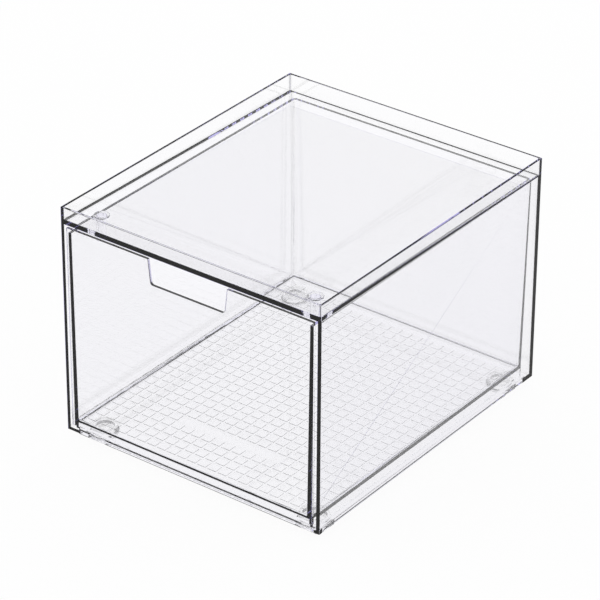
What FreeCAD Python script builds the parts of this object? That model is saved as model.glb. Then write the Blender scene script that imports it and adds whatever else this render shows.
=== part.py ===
import FreeCAD, Part
import Sketcher
import os

# Stackable drawer box: a clear case that is open at the front, one deep drawer that slides out of
# it, two stop pins dropped through the case's top panel and four cup feet in its base.
# Millimetres. X runs across the front, Y from front to back, Z up. The origin is on the surface
# that the feet stand on, below the middle of the shut box.

drivingSizes = [
    ("caseWidth", 300.0, "case, outside width"),
    ("caseDepth", 351.4, "case, outside depth"),
    ("shellHeight", 241.4, "case, from the lower edge of its walls to the top of its rim"),
    ("sideWall", 3.8, "case side walls, at the front"),
    ("sideTaper", 1.2, "how much thicker each side wall is at the rear"),
    ("rearWall", 3.2, "case rear wall"),
    ("topPanel", 4.4, "case top panel, at the front"),
    ("floorPanel", 3.3, "case floor panel"),
    ("shellRound", 0.8, "rounding of the case's upright corners"),
    ("rimWall", 2.6, "stacking rim round the top panel"),
    ("rimHeight", 13.0, "rim above the top panel, at the front"),
    ("panelFall", 4.6, "how much lower the top panel lies at the rear"),
    ("ceilingFall", 2.2, "how much lower the underside of the top panel lies at the rear"),
    ("rimCornerRound", 1.5, "rounding of the rim's corners, inside"),
    ("rimFootRound", 0.6, "rounding where the rim meets the top panel"),
    ("baseInset", 7.0, "base in from the case's walls"),
    ("baseHeight", 6.4, "base below the case's walls"),
    ("baseWall", 4.0, "base side walls"),
    ("baseRound", 2.0, "rounding of the base's corners, outside and in"),
    ("footFlange", 28.0, "foot's flange, across"),
    ("footProud", 2.4, "foot's flange, below the base"),
    ("footDiameter", 24.6, "foot across, where it fills its hole"),
    ("footHeight", 10.4, "foot, height in all"),
    ("footRecess", 19.6, "hollow under a foot, across"),
    ("footRecessDepth", 8.0, "hollow under a foot, depth"),
    ("footBevel", 0.5, "bevel of a foot's flange"),
    ("footInset", 26.0, "foot in from the case's walls"),
    ("footHoleClear", 0.1, "clearance round a foot in its hole"),
    ("pinShaft", 9.4, "stop pin shaft, across"),
    ("pinHead", 15.4, "stop pin head, across"),
    ("pinHeadThickness", 2.2, "stop pin head, thickness"),
    ("pinReach", 25.0, "stop pin below its head"),
    ("pinTipBevel", 1.6, "bevel of a stop pin's tip"),
    ("pinHeadBevel", 0.5, "bevel of a stop pin's head"),
    ("pinSideInset", 26.7, "stop pin in from the case's side"),
    ("pinFrontInset", 27.2, "stop pin in from the case's front"),
    ("pinHoleClear", 0.25, "clearance round a stop pin's shaft"),
    ("pinSeatClear", 0.05, "clearance under a stop pin's head"),
    ("frontWall", 3.0, "drawer front, thickness"),
    ("frontProud", 1.4, "drawer front ahead of the case's front edges"),
    ("frontSideClear", 3.6, "drawer front to the case's side walls"),
    ("frontTopClear", 1.6, "drawer front to the case's top panel"),
    ("frontFootLift", 4.6, "drawer front's lower edge above the foot of the tray"),
    ("frontRound", 0.5, "rounding of the drawer front's corners"),
    ("runClear", 0.3, "foot of the tray above the case's ledge"),
    ("trayInset", 1.6, "tray's side walls in from the ends of the drawer front"),
    ("trayTopDrop", 5.2, "tray's walls below the top edge of the drawer front"),
    ("trayRearClear", 1.5, "tray's rear wall to the case's rear wall, at the top"),
    ("traySideDraft", 0.5, "how much nearer the tray's side walls stand at the foot"),
    ("trayRearDraft", 3.9, "how much nearer the tray's rear wall stands at the foot"),
    ("trayWall", 3.2, "tray walls, at the top"),
    ("trayWallGain", 1.4, "how much thicker the tray's walls are at its floor"),
    ("trayFloor", 2.6, "tray floor"),
    ("trayFloorLift", 7.5, "tray floor above the foot of the tray"),
    ("trayRearRound", 5.0, "rounding of the tray's rear corners, outside"),
    ("trayInnerRound", 3.0, "rounding inside the tray"),
    ("notchTopWidth", 91.0, "finger notch, width at the drawer front's top edge"),
    ("notchFootWidth", 85.0, "finger notch, width at its lower edge"),
    ("notchDepth", 26.0, "finger notch, depth"),
    ("notchRound", 3.0, "rounding of the finger notch's lower corners"),
    ("overrun", 5.0, "how far a cut runs past the face that it opens"),
]

doc = FreeCAD.newDocument("DrawerBox")
sheet = doc.addObject("Spreadsheet::Sheet", "Sizes")
for row, (alias, size, meaning) in enumerate(drivingSizes, start=1):
    sheet.set(f"A{row}", meaning)
    sheet.set(f"B{row}", str(size))
    sheet.setAlias(f"B{row}", alias)
doc.recompute()

# Heights
shellFoot = "(Sizes.footProud + Sizes.baseHeight)"
floorTop = f"({shellFoot} + Sizes.floorPanel)"
rimTop = f"({shellFoot} + Sizes.shellHeight)"
panelTopFront = f"({rimTop} - Sizes.rimHeight)"
panelTopRear = f"({panelTopFront} - Sizes.panelFall)"
ceilingFront = f"({panelTopFront} - Sizes.topPanel)"
ceilingRear = f"({ceilingFront} - Sizes.ceilingFall)"
trayFoot = f"({floorTop} + Sizes.runClear)"
trayFloorFoot = f"({trayFoot} + Sizes.trayFloorLift)"
trayFloorTop = f"({trayFloorFoot} + Sizes.trayFloor)"
frontFoot = f"({trayFoot} + Sizes.frontFootLift)"
frontTop = f"({ceilingFront} - Sizes.frontTopClear)"
trayTop = f"({frontTop} - Sizes.trayTopDrop)"
notchFoot = f"({frontTop} - Sizes.notchDepth)"

# Places across the box, as distances from its middle
caseHalf = "(Sizes.caseWidth / 2)"
rimHalf = f"({caseHalf} - Sizes.rimWall)"
cavityHalfFront = f"({caseHalf} - Sizes.sideWall)"
cavityHalfRear = f"({cavityHalfFront} - Sizes.sideTaper)"
baseHalf = f"({caseHalf} - Sizes.baseInset)"
wellHalf = f"({baseHalf} - Sizes.baseWall)"
frontHalf = f"({cavityHalfFront} - Sizes.frontSideClear)"
trayHalfTop = f"({frontHalf} - Sizes.trayInset)"
trayHalfFoot = f"({trayHalfTop} - Sizes.traySideDraft)"
pinX = f"({caseHalf} - Sizes.pinSideInset)"
footX = f"({caseHalf} - Sizes.footInset)"

# Places from front to back. The drawer front stands ahead of the case, and the middle is that of both
caseRear = "((Sizes.caseDepth + Sizes.frontProud) / 2)"
caseFront = f"({caseRear} - Sizes.caseDepth)"
cavityRear = f"({caseRear} - Sizes.rearWall)"
rimFront = f"({caseFront} + Sizes.rimWall)"
rimRear = f"({caseRear} - Sizes.rimWall)"
baseFront = f"({caseFront} + Sizes.baseInset)"
baseRear = f"({caseRear} - Sizes.baseInset)"
wellFront = f"({baseFront} + Sizes.baseWall)"
wellRear = f"({baseRear} - Sizes.baseWall)"
frontFace = f"({caseFront} - Sizes.frontProud)"
frontBack = f"({frontFace} + Sizes.frontWall)"
trayRearTop = f"({cavityRear} - Sizes.trayRearClear)"
trayRearFoot = f"({trayRearTop} - Sizes.trayRearDraft)"
pinY = f"({caseFront} + Sizes.pinFrontInset)"
footFrontY = f"({caseFront} + Sizes.footInset)"
footRearY = f"({caseRear} - Sizes.footInset)"

# The tray's inside leans with its outside and somewhat more, so its walls are thickest at the floor
draftShare = f"(({trayTop} - {trayFloorTop}) / ({trayTop} - {trayFoot}))"
cavityHalfTop = f"({trayHalfTop} - Sizes.trayWall)"
cavityHalfFloor = f"({cavityHalfTop} - Sizes.traySideDraft * {draftShare} - Sizes.trayWallGain)"
trayInsideRearTop = f"({trayRearTop} - Sizes.trayWall)"
trayInsideRearFloor = f"({trayInsideRearTop} - Sizes.trayRearDraft * {draftShare} - Sizes.trayWallGain)"

# The top panel slopes, so a stop pin's head sits on it at the front of the head
headFront = "(Sizes.pinFrontInset - Sizes.rimWall - Sizes.pinHead / 2)"
seatShare = f"({headFront} / (Sizes.caseDepth - 2 * Sizes.rimWall))"
pinSeat = f"({panelTopFront} - Sizes.panelFall * {seatShare} + Sizes.pinSeatClear)"


near = 0.01  # places closer together than this are the same


def number(expression):
    """What an expression of the sheet's cells comes to."""
    result = sheet.evalExpression(expression)
    return float(getattr(result, "Value", result))


def newBody(name):
    body = doc.addObject("PartDesign::Body", name)
    body.Label = name
    return body


def newSketch(body, role, name, offset="0"):
    """An empty sketch on one of the body's origin planes, moved along that plane's normal."""
    sketch = body.newObject("Sketcher::SketchObject", name)
    plane = next(p for p in body.Origin.OriginFeatures if p.Role == role)
    sketch.AttachmentSupport = [(plane, "")]
    sketch.MapMode = "FlatFace"
    sketch.setExpression("AttachmentOffset.Base.z", offset)
    return sketch


def bind(sketch, kind, places, expression):
    """Adds a dimension to a sketch and ties it to an expression."""
    index = sketch.addConstraint(Sketcher.Constraint(kind, *places, number(expression)))
    sketch.setExpression(f"Constraints[{index}]", expression)


def polygon(sketch, points):
    """A closed outline of straight edges, with its corners given as pairs of expressions."""
    starts = [FreeCAD.Vector(number(x), number(y), 0) for x, y in points]
    ends = starts[1:] + starts[:1]
    first = sketch.GeometryCount
    for start, end in zip(starts, ends):
        sketch.addGeometry(Part.LineSegment(start, end), False)
    for i in range(len(points)):
        after = first + (i + 1) % len(points)
        sketch.addConstraint(Sketcher.Constraint("Coincident", first + i, 2, after, 1))
    for i, (x, y) in enumerate(points):
        bind(sketch, "DistanceX", (-1, 1, first + i, 1), x)
        bind(sketch, "DistanceY", (-1, 1, first + i, 1), y)


def rectangle(sketch, half, low, high):
    """A rectangle centred across the box."""
    polygon(sketch, [(f"-{half}", low), (half, low), (half, high), (f"-{half}", high)])


def circle(sketch, x, y, radius):
    place = FreeCAD.Vector(number(x), number(y), 0)
    upward = FreeCAD.Vector(0, 0, 1)
    index = sketch.addGeometry(Part.Circle(place, upward, number(radius)), False)
    bind(sketch, "Radius", (index,), radius)
    bind(sketch, "DistanceX", (-1, 1, index, 3), x)
    bind(sketch, "DistanceY", (-1, 1, index, 3), y)


def recompute(feature):
    """Recomputes, and stops the build if the feature has failed."""
    doc.recompute()
    if "Invalid" in feature.State or feature.Shape.isNull():
        raise RuntimeError(f"{feature.Name}: {feature.getStatusString()}")


def finish(body, feature, before, grows):
    """Recomputes, and stops the build if the feature didn't add or take away material."""
    recompute(feature)
    change = body.Shape.Volume - before
    if not (change > 0 if grows else change < 0):
        raise RuntimeError(f"{feature.Name} changes the volume by {change}")


def extrude(body, kind, name, sketch, length, reverse=False, midplane=False):
    """A Pad or a Pocket."""
    before = body.Shape.Volume if body.Tip else 0
    feature = body.newObject(f"PartDesign::{kind}", name)
    feature.Profile = sketch
    feature.Reversed = reverse
    feature.Midplane = midplane
    feature.setExpression("Length", length)
    finish(body, feature, before, kind == "Pad")


def loft(body, kind, name, start, end):
    """An AdditiveLoft or a SubtractiveLoft with straight sides between two sketches."""
    before = body.Shape.Volume if body.Tip else 0
    feature = body.newObject(f"PartDesign::{kind}", name)
    feature.Profile = start
    feature.Sections = [end]
    feature.Ruled = True
    finish(body, feature, before, kind == "AdditiveLoft")


def fillet(body, name, radius, chosen):
    """Rounds those edges of the body's last solid for which chosen gives True."""
    base = body.Tip
    edges = [f"Edge{i}" for i, e in enumerate(base.Shape.Edges, start=1) if chosen(e)]
    if not edges:
        raise RuntimeError(f"{name} finds no edge")
    feature = body.newObject("PartDesign::Fillet", name)
    feature.Base = (base, edges)
    feature.setExpression("Radius", radius)
    recompute(feature)


def upright(edge):
    """True for an edge that runs mostly upwards."""
    run = edge.Vertexes[-1].Point - edge.Vertexes[0].Point
    return abs(run.z) > abs(run.x) + abs(run.y)


def middle(edge):
    return edge.valueAt((edge.FirstParameter + edge.LastParameter) / 2)


def through(*places):
    """Chooses the edges that go through one of the places."""
    spots = [Part.Vertex(*(number(c) for c in place)) for place in places]
    return lambda edge: any(edge.distToShape(spot)[0] < near for spot in spots)


def corners(half, front, rear, level):
    """Chooses the upright edges at the corners of a rectangle that is centred across the box."""
    places = [(x, y, level) for x in (half, f"-{half}") for y in (front, rear)]
    meeting = through(*places)
    return lambda edge: upright(edge) and meeting(edge)


def around(body, x, y, z):
    """Chooses the edges round the face that is nearest to a place."""
    spot = Part.Vertex(number(x), number(y), number(z))
    face = min(body.Tip.Shape.Faces, key=lambda f: f.distToShape(spot)[0])
    return lambda edge: any(edge.isSame(e) for e in face.Edges)


# Case: walls, top panel with its stacking rim, and floor with its stepped base, in one moulding
def makeCase():
    body = newBody("case")
    outline = newSketch(body, "XY_Plane", "ShellOutline", shellFoot)
    rectangle(outline, caseHalf, caseFront, caseRear)
    extrude(body, "Pad", "Shell", outline, "Sizes.shellHeight")
    fillet(body, "ShellCorners", "Sizes.shellRound", upright)

    # The cavity narrows and its ceiling falls towards the rear, as a core drawn to the front needs
    mouth = newSketch(body, "XZ_Plane", "CavityMouth", f"-{caseFront}")
    rectangle(mouth, cavityHalfFront, floorTop, ceilingFront)
    back = newSketch(body, "XZ_Plane", "CavityBack", f"-{cavityRear}")
    rectangle(back, cavityHalfRear, floorTop, ceilingRear)
    loft(body, "SubtractiveLoft", "Cavity", mouth, back)

    # The space inside the rim, into which the base of the next box drops
    recess = newSketch(body, "YZ_Plane", "RimRecessSide")
    clear = f"({rimTop} + Sizes.overrun)"
    points = [(rimFront, panelTopFront), (rimRear, panelTopRear), (rimRear, clear), (rimFront, clear)]
    polygon(recess, points)
    extrude(body, "Pocket", "RimRecess", recess, f"2 * {rimHalf}", midplane=True)

    fillet(body, "RimCorners", "Sizes.rimCornerRound", corners(rimHalf, rimFront, rimRear, rimTop))
    panelMiddle = f"({panelTopFront} + {panelTopRear}) / 2"
    fillet(body, "RimFoot", "Sizes.rimFootRound", around(body, "0", "0", panelMiddle))

    # The floor steps down into the base and leaves a ledge all round, on which the drawer runs
    base = newSketch(body, "XY_Plane", "BaseOutline", shellFoot)
    rectangle(base, baseHalf, baseFront, baseRear)
    extrude(body, "Pad", "Base", base, "Sizes.baseHeight", reverse=True)
    baseCorners = corners(baseHalf, baseFront, baseRear, "Sizes.footProud")
    fillet(body, "BaseCorners", "Sizes.baseRound", baseCorners)

    well = newSketch(body, "XY_Plane", "WellOutline", floorTop)
    rectangle(well, wellHalf, wellFront, wellRear)
    extrude(body, "Pocket", "Well", well, "Sizes.baseHeight")
    fillet(body, "WellCorners", "Sizes.baseRound", corners(wellHalf, wellFront, wellRear, floorTop))

    footHoles = newSketch(body, "XY_Plane", "FootHolePlaces", shellFoot)
    for x in (footX, f"-{footX}"):
        for y in (footFrontY, footRearY):
            circle(footHoles, x, y, "Sizes.footDiameter / 2 + Sizes.footHoleClear")
    extrude(body, "Pocket", "FootHoles", footHoles, "Sizes.baseHeight + Sizes.overrun")

    pinHoles = newSketch(body, "XY_Plane", "PinHolePlaces", rimTop)
    for x in (pinX, f"-{pinX}"):
        circle(pinHoles, x, pinY, "Sizes.pinShaft / 2 + Sizes.pinHoleClear")
    depth = "Sizes.rimHeight + Sizes.topPanel + Sizes.overrun"
    extrude(body, "Pocket", "PinHoles", pinHoles, depth)
    return body


# Drawer: a front that overlaps a drafted tray, whose floor is raised on the foot of its walls
def makeDrawer():
    body = newBody("drawer")
    front = newSketch(body, "XZ_Plane", "FrontOutline", f"-{frontBack}")
    rectangle(front, frontHalf, frontFoot, frontTop)
    extrude(body, "Pad", "Front", front, "Sizes.frontWall")

    foot = newSketch(body, "XY_Plane", "TrayFootOutline", trayFoot)
    rectangle(foot, trayHalfFoot, frontBack, trayRearFoot)
    top = newSketch(body, "XY_Plane", "TrayTopOutline", trayTop)
    rectangle(top, trayHalfTop, frontBack, trayRearTop)
    loft(body, "AdditiveLoft", "Tray", foot, top)

    def rearCorner(edge):
        return upright(edge) and middle(edge).y > 0

    fillet(body, "TrayRearCorners", "Sizes.trayRearRound", rearCorner)

    floor = newSketch(body, "XY_Plane", "CavityFloorOutline", trayFloorTop)
    rectangle(floor, cavityHalfFloor, frontBack, trayInsideRearFloor)
    mouth = newSketch(body, "XY_Plane", "CavityMouthOutline", trayTop)
    rectangle(mouth, cavityHalfTop, frontBack, trayInsideRearTop)
    loft(body, "SubtractiveLoft", "TrayCavity", floor, mouth)

    def insideCorner(edge):
        place = middle(edge)
        return (
            upright(edge)
            and abs(place.x) < number(cavityHalfTop)
            and place.y > 0
            and edge.Length > number(f"({trayTop} - {trayFloorTop}) / 2")
        )

    fillet(body, "TrayInsideRearCorners", "Sizes.trayRearRound - Sizes.trayWall", insideCorner)

    fillet(body, "TrayFloorEdges", "Sizes.trayInnerRound", around(body, "0", "0", trayFloorTop))

    under = newSketch(body, "XY_Plane", "TrayUnderside", trayFoot)
    underFront = f"({frontBack} + Sizes.trayWall)"
    underRear = f"({trayRearFoot} - Sizes.trayWall)"
    rectangle(under, f"({trayHalfFoot} - Sizes.trayWall)", underFront, underRear)
    extrude(body, "Pocket", "TrayUnderHollow", under, "Sizes.trayFloorLift", reverse=True)

    notch = newSketch(body, "XZ_Plane", "NotchOutline", f"-({frontBack} + Sizes.overrun)")
    halfTop = "(Sizes.notchTopWidth / 2)"
    halfFoot = "(Sizes.notchFootWidth / 2)"
    lower = [(f"-{halfFoot}", notchFoot), (halfFoot, notchFoot)]
    upper = [(halfTop, frontTop), (f"-{halfTop}", frontTop)]
    polygon(notch, lower + upper)
    cut = "Sizes.frontWall + 2 * Sizes.overrun"
    extrude(body, "Pocket", "FingerNotch", notch, cut, reverse=True)
    frontMiddle = f"(({frontFace} + {frontBack}) / 2)"
    lowerCorners = through(*((x, frontMiddle, z) for x, z in lower))
    fillet(body, "NotchCorners", "Sizes.notchRound", lowerCorners)
    fillet(body, "FrontEdges", "Sizes.frontRound", around(body, "0", frontFace, trayFloorTop))
    return body


# Stop pin: a round shaft with a flat head, which the drawer's rear wall meets when it is pulled out
def makeStopPin(name, x):
    body = newBody(name)
    profile = newSketch(body, "XZ_Plane", "PinProfile")
    shaft = "(Sizes.pinShaft / 2)"
    head = "(Sizes.pinHead / 2)"
    tip = "(-Sizes.pinReach)"
    face = "Sizes.pinHeadThickness"
    lower = [("0", tip), (f"{shaft} - Sizes.pinTipBevel", tip), (shaft, f"{tip} + Sizes.pinTipBevel")]
    under = [(shaft, "0"), (head, "0")]
    upper = [(head, f"{face} - Sizes.pinHeadBevel"), (f"{head} - Sizes.pinHeadBevel", face), ("0", face)]
    polygon(profile, lower + under + upper)
    turn(body, "Pin", profile)
    place(body, x, pinY, pinSeat)
    return body


# Foot: a cup, open below, that plugs a hole in the base as far as its flange
def makeFoot(name, x, y):
    body = newBody(name)
    profile = newSketch(body, "XZ_Plane", "FootProfile")
    flange = "(Sizes.footFlange / 2)"
    outside = "(Sizes.footDiameter / 2)"
    inside = "(Sizes.footRecess / 2)"
    roof = "Sizes.footRecessDepth"
    hollow = [("0", roof), (inside, roof), (inside, "0")]
    tread = [(f"{flange} - Sizes.footBevel", "0"), (flange, "Sizes.footBevel"), (flange, "Sizes.footProud")]
    plug = [(outside, "Sizes.footProud"), (outside, "Sizes.footHeight"), ("0", "Sizes.footHeight")]
    polygon(profile, hollow + tread + plug)
    turn(body, "Cup", profile)
    place(body, x, y, "0")
    return body


def turn(body, name, profile):
    """Revolves a profile once round the body's upright axis."""
    feature = body.newObject("PartDesign::Revolution", name)
    feature.Profile = profile
    feature.ReferenceAxis = (profile, ["V_Axis"])
    finish(body, feature, 0, True)


def place(body, x, y, z):
    for axis, expression in zip("xyz", (x, y, z)):
        body.setExpression(f"Placement.Base.{axis}", expression)


pieces = [makeCase(), makeDrawer()]
for side, x in (("left", f"-{pinX}"), ("right", pinX)):
    pieces.append(makeStopPin(f"stop_pin_{side}", x))
for end, y in (("front", footFrontY), ("rear", footRearY)):
    for side, x in (("left", f"-{footX}"), ("right", footX)):
        pieces.append(makeFoot(f"foot_{end}_{side}", x, y))
doc.recompute()

for item in doc.Objects:
    if "Invalid" in item.State or "Error" in item.State:
        raise RuntimeError(f"{item.Name} is {item.State}")
os.makedirs("parts", exist_ok=True)
for piece in pieces:
    if piece.Shape.isNull() or not piece.Shape.isValid():
        raise RuntimeError(f"{piece.Label} has no valid shape")
    print(piece.Label, len(piece.Shape.Solids), "solid", round(piece.Shape.Volume), "mm3")
    piece.Shape.exportStep(f"parts/{piece.Label}.step")
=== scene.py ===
import math

import bpy
from mathutils import Matrix


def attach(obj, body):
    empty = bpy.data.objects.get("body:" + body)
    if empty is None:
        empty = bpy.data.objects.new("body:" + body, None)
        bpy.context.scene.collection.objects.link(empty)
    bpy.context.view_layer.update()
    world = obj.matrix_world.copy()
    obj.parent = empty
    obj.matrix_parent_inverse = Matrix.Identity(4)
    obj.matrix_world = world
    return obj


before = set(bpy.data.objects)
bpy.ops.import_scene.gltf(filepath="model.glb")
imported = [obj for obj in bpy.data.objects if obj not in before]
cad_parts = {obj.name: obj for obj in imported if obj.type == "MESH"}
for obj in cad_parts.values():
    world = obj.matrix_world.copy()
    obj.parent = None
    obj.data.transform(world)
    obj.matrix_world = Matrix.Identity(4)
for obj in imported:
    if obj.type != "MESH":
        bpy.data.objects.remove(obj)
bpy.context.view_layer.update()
mm = 0.001
print("frame loaded:", len(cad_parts), "nodes")


# Small helpers
def linearFromHex(code, alpha=1.0):
    channels = [int(code[i:i + 2], 16) / 255 for i in (1, 3, 5)]
    return [c / 12.92 if c <= 0.04045 else ((c + 0.055) / 1.055) ** 2.4 for c in channels] + [alpha]


def addNode(tree, kind, settings=None, **sockets):
    node = tree.nodes.new(kind)
    for name, setting in (settings or {}).items():
        setattr(node, name, setting)
    for name, source in sockets.items():
        socket = node.inputs[int(name[2:]) if name.startswith("at") else name.replace("_", " ")]
        if isinstance(source, bpy.types.NodeSocket):
            tree.links.new(source, socket)
        else:
            socket.default_value = source
    return node


def addMath(tree, operation, first, second):
    return addNode(
        tree, "ShaderNodeMath", {"operation": operation}, at0=first, at1=second
    ).outputs["Value"]


def emptyMaterial(name):
    material = bpy.data.materials.new(name)
    material.use_nodes = True
    material.node_tree.nodes.clear()
    return material, material.node_tree


# Camera at the photograph's angle, worked out for a frame 600 pixels wide
photoCamera = {
    "azimuth": 36.732,
    "elevation": 30.089,
    "roll": 0.338,
    "focalPixels": 3383.5,
    "framePixels": 600,
    "place": (1666.78 * mm, -2239.01 * mm, 1740.37 * mm),
}


def addCamera():
    data = bpy.data.cameras.new("photoCamera")
    data.sensor_width = 36
    data.lens = photoCamera["focalPixels"] / photoCamera["framePixels"] * data.sensor_width
    data.clip_start = 0.1
    data.clip_end = 50
    camera = bpy.data.objects.new("photoCamera", data)
    bpy.context.scene.collection.objects.link(camera)
    turn = Matrix.Rotation(math.radians(photoCamera["azimuth"]), 3, "Z")
    tilt = Matrix.Rotation(math.radians(90 - photoCamera["elevation"]), 3, "X")
    roll = Matrix.Rotation(math.radians(photoCamera["roll"]), 3, "Z")
    camera.rotation_euler = (turn @ tilt @ roll).to_euler()
    camera.location = photoCamera["place"]
    bpy.context.scene.camera = camera


addCamera()
print("camera set")


# One recipe for every clear plastic: a surface that refracts, a long low wave and a finer ripple as a
# mould leaves them, a dullness that follows the ripple, and a body that takes away a little light
ripplePeaks = {"from": 0.55, "to": 0.8}


def clearPlastic(name, look):
    material, tree = emptyMaterial(name)
    place = addNode(tree, "ShaderNodeTexCoord").outputs["Object"]
    wave = addNode(
        tree, "ShaderNodeTexNoise",
        Vector=place, Scale=1 / (look["waveLength"] * mm), Detail=1.0,
    )
    ripple = addNode(
        tree, "ShaderNodeTexNoise",
        Vector=place, Scale=1 / (look["rippleLength"] * mm), Detail=2.0,
    )
    waved = addNode(
        tree, "ShaderNodeBump",
        Strength=1.0, Distance=look["waveHeight"] * mm, Height=wave.outputs["Fac"],
    )
    rippled = addNode(
        tree, "ShaderNodeBump",
        Strength=1.0, Distance=look["rippleHeight"] * mm, Height=ripple.outputs["Fac"],
        Normal=waved.outputs["Normal"],
    )
    dullness = addNode(
        tree, "ShaderNodeMapRange", {"clamp": True},
        Value=ripple.outputs["Fac"], From_Min=ripplePeaks["from"], From_Max=ripplePeaks["to"],
        To_Min=look["roughness"], To_Max=look["roughness"] + look["haze"],
    )
    surface = addNode(
        tree, "ShaderNodeBsdfPrincipled",
        Base_Color=(1, 1, 1, 1), Roughness=dullness.outputs["Result"], IOR=look["ior"],
        Transmission_Weight=1.0, Normal=rippled.outputs["Normal"],
    )
    inside = addNode(
        tree, "ShaderNodeVolumeAbsorption",
        Color=linearFromHex(look["bodyColor"]), Density=look["bodyDensity"],
    )
    addNode(
        tree, "ShaderNodeOutputMaterial",
        Surface=surface.outputs["BSDF"], Volume=inside.outputs["Volume"],
    )
    return material


# The CAD's edges are sharp, and roundEdges gives them the small radius that a mould leaves. The
# normals that came with the triangles are dropped first, so that each large face stays optically
# flat, and triangles in one plane are joined. Only edges over a height and before a depth are
# marked: rounded lower down, the case made the drawer's floor dark, for a cause that wasn't found,
# and rounded further back, the drawer threw spikes at its rear corners.
edgeWork = {"weldGap": 0.01, "flatAngle": 0.4, "sharpAngle": 50}


def nodeGroup(name):
    group = bpy.data.node_groups.new(name, "GeometryNodeTree")
    group.interface.new_socket("Geometry", in_out="INPUT", socket_type="NodeSocketGeometry")
    group.interface.new_socket("Geometry", in_out="OUTPUT", socket_type="NodeSocketGeometry")
    return group, group.nodes.new("NodeGroupInput").outputs["Geometry"]


def flatFaces():
    group, geometry = nodeGroup("flatFaces")
    bare = addNode(
        group, "GeometryNodeRemoveAttribute", Geometry=geometry, Name="custom_normal"
    )
    flat = addNode(
        group, "GeometryNodeSetShadeSmooth", {"domain": "FACE"},
        Geometry=bare.outputs["Geometry"], Shade_Smooth=False,
    )
    addNode(group, "NodeGroupOutput", Geometry=flat.outputs["Geometry"])
    return group


def markedEdges(lowest, rearmost):
    group, geometry = nodeGroup("markedEdges")
    angle = addNode(group, "GeometryNodeInputMeshEdgeAngle").outputs["Unsigned Angle"]
    place = addNode(group, "GeometryNodeInputPosition").outputs["Position"]
    parts = addNode(group, "ShaderNodeSeparateXYZ", Vector=place)
    sharp = addMath(group, "GREATER_THAN", angle, math.radians(edgeWork["sharpAngle"]))
    above = addMath(group, "GREATER_THAN", parts.outputs["Z"], lowest * mm)
    before = addMath(group, "LESS_THAN", parts.outputs["Y"], rearmost * mm)
    chosen = addMath(group, "MULTIPLY", addMath(group, "MULTIPLY", sharp, above), before)
    stored = addNode(
        group, "GeometryNodeStoreNamedAttribute", {"data_type": "FLOAT", "domain": "EDGE"},
        Geometry=geometry, Name="bevel_weight_edge", Value=chosen,
    )
    addNode(group, "NodeGroupOutput", Geometry=stored.outputs["Geometry"])
    return group


flatGroup = flatFaces()


def roundEdges(piece, look):
    plain = piece.modifiers.new("plain", "NODES")
    plain.node_group = flatGroup
    weld = piece.modifiers.new("weld", "WELD")
    weld.merge_threshold = edgeWork["weldGap"] * mm
    flats = piece.modifiers.new("flats", "DECIMATE")
    flats.decimate_type = "DISSOLVE"
    flats.angle_limit = math.radians(edgeWork["flatAngle"])
    marked = piece.modifiers.new("marked", "NODES")
    marked.node_group = markedEdges(look["lowestRound"], look["rearmostRound"])
    rounded = piece.modifiers.new("rounded", "BEVEL")
    rounded.width = look["edgeRadius"] * mm
    rounded.segments = look["edgeSteps"]
    rounded.limit_method = "WEIGHT"
    rounded.use_clamp_overlap = False


def dress(names, material, look):
    for name in names:
        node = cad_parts[name]
        node.data.materials.clear()
        node.data.materials.append(material)
        roundEdges(node, look)


# Case: taken to be clear polystyrene, with a faint lavender body. Its faces are water clear, and its
# edges are black where the light caught in the wall never comes out.
caseLook = {
    "ior": 1.58,
    "roughness": 0.0,
    "haze": 0.0,
    "bodyColor": "#cfc8fb",
    "bodyDensity": 6.0,
    "waveLength": 70,
    "waveHeight": 0.006,
    "rippleLength": 14,
    "rippleHeight": 0.0006,
    "edgeRadius": 0.5,
    "edgeSteps": 4,
    "lowestRound": 15.0,
    "rearmostRound": 200.0,
}
dress(["case"], clearPlastic("clearPolystyreneCase", caseLook), caseLook)
print("case dressed")

# Drawer: the same polystyrene in a thinner, drafted wall, so its wave is a little shorter. It is
# rounded at the front only.
drawerLook = dict(caseLook, waveLength=50, lowestRound=0, rearmostRound=-150.0)
drawerPlastic = clearPlastic("clearPolystyreneDrawer", drawerLook)
dress(["drawer"], drawerPlastic, drawerLook)
print("drawer dressed")

# Stop pins: the same polystyrene, short and thick, so each bends the view like a small lens
pinLook = dict(caseLook, waveLength=20, waveHeight=0.002, edgeRadius=0.3, edgeSteps=3, lowestRound=0)
dress(["stop_pin_left", "stop_pin_right"], clearPlastic("clearPolystyrenePin", pinLook), pinLook)
print("pins dressed")

# Feet: soft clear vinyl, paler and a little dull, so that each shows as a quiet ring through the
# floor. The real plastic isn't known.
footLook = dict(
    caseLook, ior=1.5, roughness=0.12, haze=0.06, bodyColor="#f2f2f6", bodyDensity=6.0,
    edgeRadius=0.3, edgeSteps=3, lowestRound=-1,
)
footNames = ["foot_front_left", "foot_front_right", "foot_rear_left", "foot_rear_right"]
dress(footNames, clearPlastic("softVinylFoot", footLook), footLook)
print("feet dressed")


# Raised squares on the drawer's floor, with the bare strip behind the front. They lie a hair over
# the floor, so that no two surfaces share a plane.
squares = {
    "side": 9.6,
    "height": 0.5,
    "pitchX": 12.1,
    "pitchY": 12.18,
    "columns": 22,
    "rows": 26,
    "firstX": -127.05,
    "firstY": -159.7,
    "edge": 0.12,
    "lift": 22.52,
    "stripFront": -117.6,
    "stripRear": -105.4,
    "stripHalf": 60.6,
}


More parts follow.
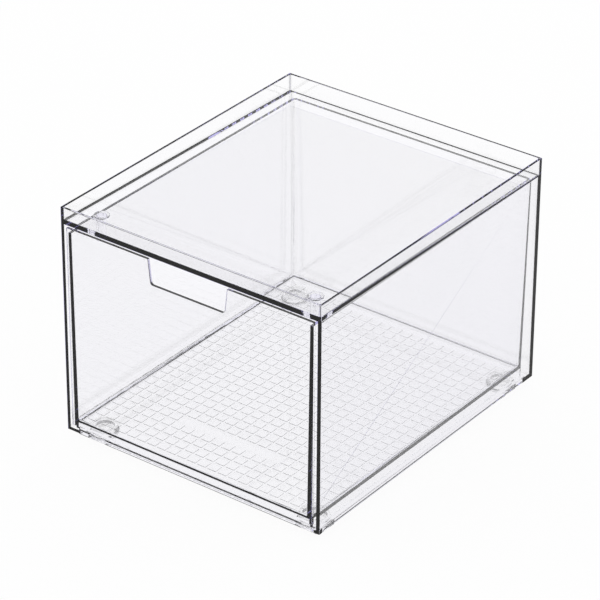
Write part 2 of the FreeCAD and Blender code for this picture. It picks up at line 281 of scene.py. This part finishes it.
def addSquares():
    bpy.ops.object.select_all(action="DESELECT")
    bpy.ops.mesh.primitive_cube_add(size=1)
    piece = bpy.context.object
    piece.name = "floorSquares"
    bpy.ops.object.mode_set(mode="EDIT")
    bpy.ops.mesh.select_all(action="SELECT")
    bpy.ops.transform.resize(
        value=(squares["side"] * mm, squares["side"] * mm, squares["height"] * mm)
    )
    bpy.ops.transform.translate(
        value=(
            squares["firstX"] * mm, squares["firstY"] * mm,
            (squares["lift"] + squares["height"] / 2) * mm,
        )
    )
    bpy.ops.mesh.bevel(offset=squares["edge"] * mm, segments=1, affect="EDGES")
    bpy.ops.object.mode_set(mode="OBJECT")
    for axis, count, pitch in ((0, "columns", "pitchX"), (1, "rows", "pitchY")):
        row = piece.modifiers.new(count, "ARRAY")
        row.count = squares[count]
        row.use_relative_offset = False
        row.use_constant_offset = True
        row.constant_offset_displace = [
            squares[pitch] * mm if turn == axis else 0 for turn in range(3)
        ]
        bpy.ops.object.modifier_apply(modifier=count)
    bpy.ops.object.mode_set(mode="EDIT")
    bpy.ops.mesh.select_mode(type="VERT")
    bpy.ops.mesh.select_all(action="DESELECT")
    bpy.ops.object.mode_set(mode="OBJECT")
    for corner in piece.data.vertices:
        alongX = abs(corner.co.x) < squares["stripHalf"] * mm
        alongY = squares["stripFront"] * mm < corner.co.y < squares["stripRear"] * mm
        corner.select = alongX and alongY
    bpy.ops.object.mode_set(mode="EDIT")
    bpy.ops.mesh.delete(type="VERT")
    bpy.ops.mesh.select_all(action="SELECT")
    bpy.ops.mesh.normals_make_consistent(inside=False)
    bpy.ops.object.mode_set(mode="OBJECT")
    piece.data.materials.append(drawerPlastic)
    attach(piece, "drawer")


addSquares()
print("floor squares added")

# Floor and light: what is seen directly or through the plastic is white, and what only mirrors off
# it is dimmed, as in a bright tent with the camera's side left unlit. bounces is high enough for the
# walls that lie behind one another, and low enough that light trapped in a wall stays dark.
studio = {
    "floorHalf": 6.0,
    "floorColor": "#f4f4f4",
    "shadowShare": 0.05,
    "mirrored": 0.45,
    "bounces": 20,
}


def brightness(tree):
    path = addNode(tree, "ShaderNodeLightPath")
    through = addMath(tree, "SUBTRACT", 1.0, path.outputs["Is Transmission Ray"])
    mirrored = addMath(tree, "MULTIPLY", path.outputs["Is Glossy Ray"], through)
    dimmed = addMath(tree, "MULTIPLY", mirrored, 1 - studio["mirrored"])
    return addMath(tree, "SUBTRACT", 1.0, dimmed)


def addFloor():
    bpy.ops.mesh.primitive_plane_add(size=2 * studio["floorHalf"])
    floor = bpy.context.object
    floor.name = "floor"
    material, tree = emptyMaterial("paleFloor")
    paint = addNode(tree, "ShaderNodeBsdfDiffuse", Color=linearFromHex(studio["floorColor"]))
    glow = addNode(tree, "ShaderNodeEmission", Color=(1, 1, 1, 1), Strength=brightness(tree))
    mix = addNode(
        tree, "ShaderNodeMixShader",
        at0=1 - studio["shadowShare"], at1=paint.outputs["BSDF"], at2=glow.outputs["Emission"],
    )
    addNode(tree, "ShaderNodeOutputMaterial", Surface=mix.outputs["Shader"])
    floor.data.materials.append(material)


def addWorld():
    world = bpy.data.worlds.new("studioWorld")
    bpy.context.scene.world = world
    world.use_nodes = True
    tree = world.node_tree
    tree.links.new(brightness(tree), tree.nodes["Background"].inputs["Strength"])
    tree.nodes["Background"].inputs["Color"].default_value = (1, 1, 1, 1)


addFloor()
addWorld()
view = bpy.context.scene.view_settings
view.view_transform = "Standard"
cycles = bpy.context.scene.cycles
cycles.max_bounces = studio["bounces"]
cycles.transmission_bounces = studio["bounces"]
cycles.glossy_bounces = studio["bounces"]
print("floor and light set")
